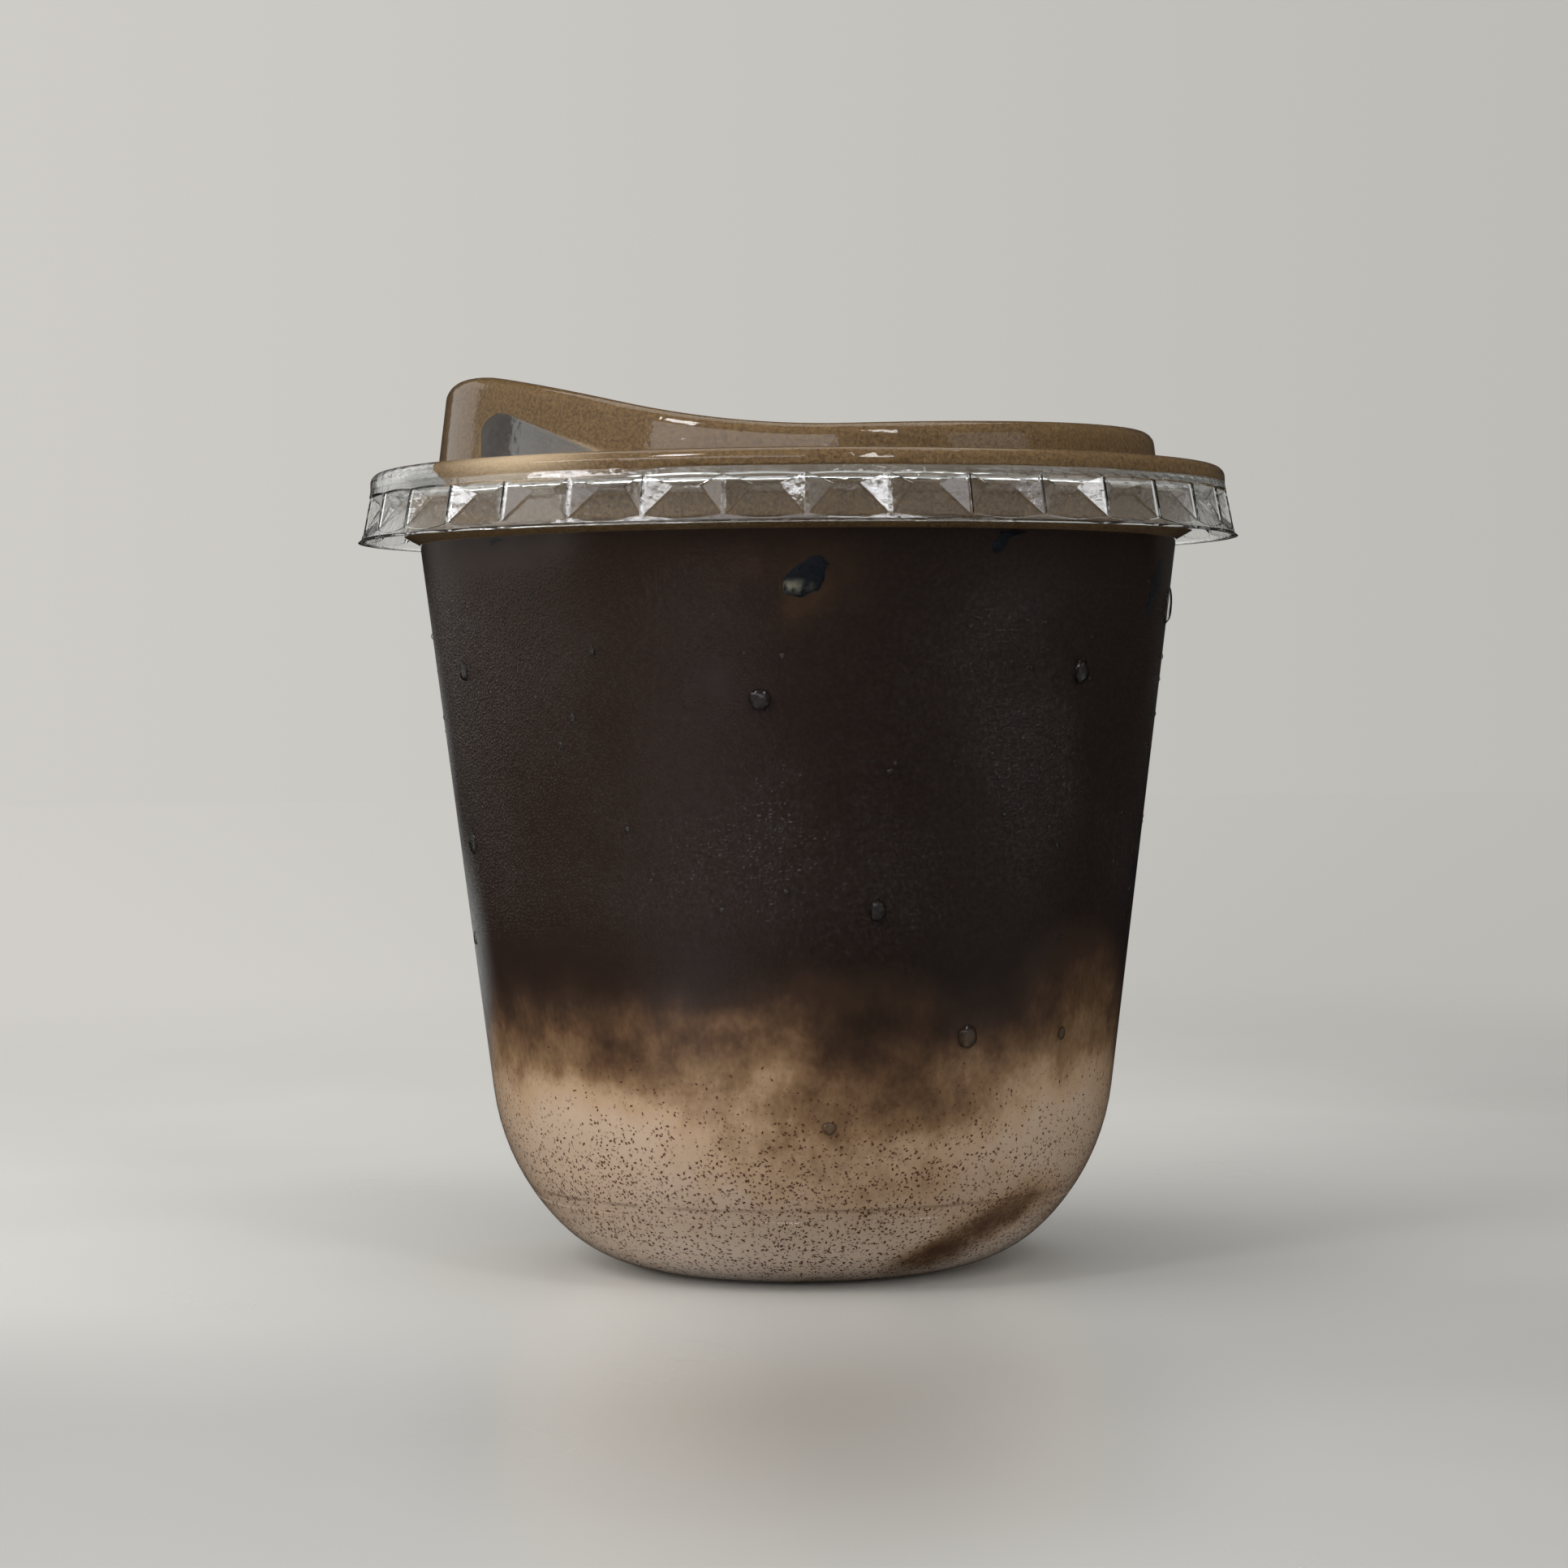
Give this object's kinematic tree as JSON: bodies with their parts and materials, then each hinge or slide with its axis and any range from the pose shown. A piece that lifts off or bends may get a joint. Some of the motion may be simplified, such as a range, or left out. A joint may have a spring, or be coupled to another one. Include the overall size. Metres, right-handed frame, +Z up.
{
  "type": "iced hojicha latte",
  "caption": "Layered iced tea latte with foam, in a clear U-shaped cup with a press-on sipping lid.",
  "frame": {"origin": "centre of the cup's foot on the surface it stands on", "axes": "+Z up along the cup's axis; the lid's mouthpiece is at -X, and the side seen from -Y is the front"},
  "size_m": [0.102, 0.102, 0.1022],
  "materials": {
    "clear_cup": "clear thin plastic, misted outside",
    "clear_lid": "clear thin plastic, glossy",
    "milk": "milky liquid with dark specks",
    "tea": "dark clouded liquid",
    "foam": "fine brown foam"
  },
  "bodies": {
    "root": {"cup": "clear_cup", "lid": "clear_lid", "milk_layer": "milk", "tea_layer": "tea", "foam_layer": "foam"}
  },
  "joints": []
}
